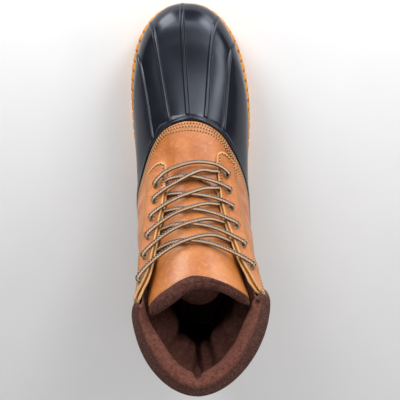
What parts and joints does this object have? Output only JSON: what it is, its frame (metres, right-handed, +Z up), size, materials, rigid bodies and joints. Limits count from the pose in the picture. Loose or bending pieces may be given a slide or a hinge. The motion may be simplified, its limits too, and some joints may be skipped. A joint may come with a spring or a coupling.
{
  "type": "duck boot",
  "caption": "Lined duck boot for the right foot: ribbed navy rubber shell, gum outsole, laced tan leather upper, padded brown collar",
  "frame": {"origin": "middle of the footprint, on the ground", "axes": "+Y to the toe, +X to the outer side of the foot, +Z up"},
  "size_m": [0.1174, 0.3104, 0.1804],
  "materials": {
    "gum_rubber": "matt moulded",
    "navy_rubber": "semi-gloss moulded",
    "tan_leather": "smooth, lightly waxed",
    "tongue_leather": "smooth, lightly waxed",
    "brown_fabric": "flecked woven wool",
    "brown_fleece": "short fleece",
    "lace_cord": "braided, navy and tan flecked",
    "aged_brass": "dulled"
  },
  "bodies": {
    "root": {"outsole": "gum_rubber", "rubber_shell": "navy_rubber", "upper": "tan_leather", "eyestay_inner": "tan_leather", "eyestay_outer": "tan_leather", "collar": "brown_fabric", "tongue": "tongue_leather", "insole": "brown_fleece", "lace_bar": "lace_cord", "lace_cross_1": "lace_cord", "lace_cross_2": "lace_cord", "lace_cross_3": "lace_cord", "lace_cross_4": "lace_cord", "lace_cross_5": "lace_cord", "eyelet_inner_1": "aged_brass", "eyelet_inner_2": "aged_brass", "eyelet_inner_3": "aged_brass", "eyelet_inner_4": "aged_brass", "eyelet_inner_5": "aged_brass", "eyelet_inner_6": "aged_brass", "eyelet_outer_1": "aged_brass", "eyelet_outer_2": "aged_brass", "eyelet_outer_3": "aged_brass", "eyelet_outer_4": "aged_brass", "eyelet_outer_5": "aged_brass", "eyelet_outer_6": "aged_brass"}
  },
  "joints": []
}
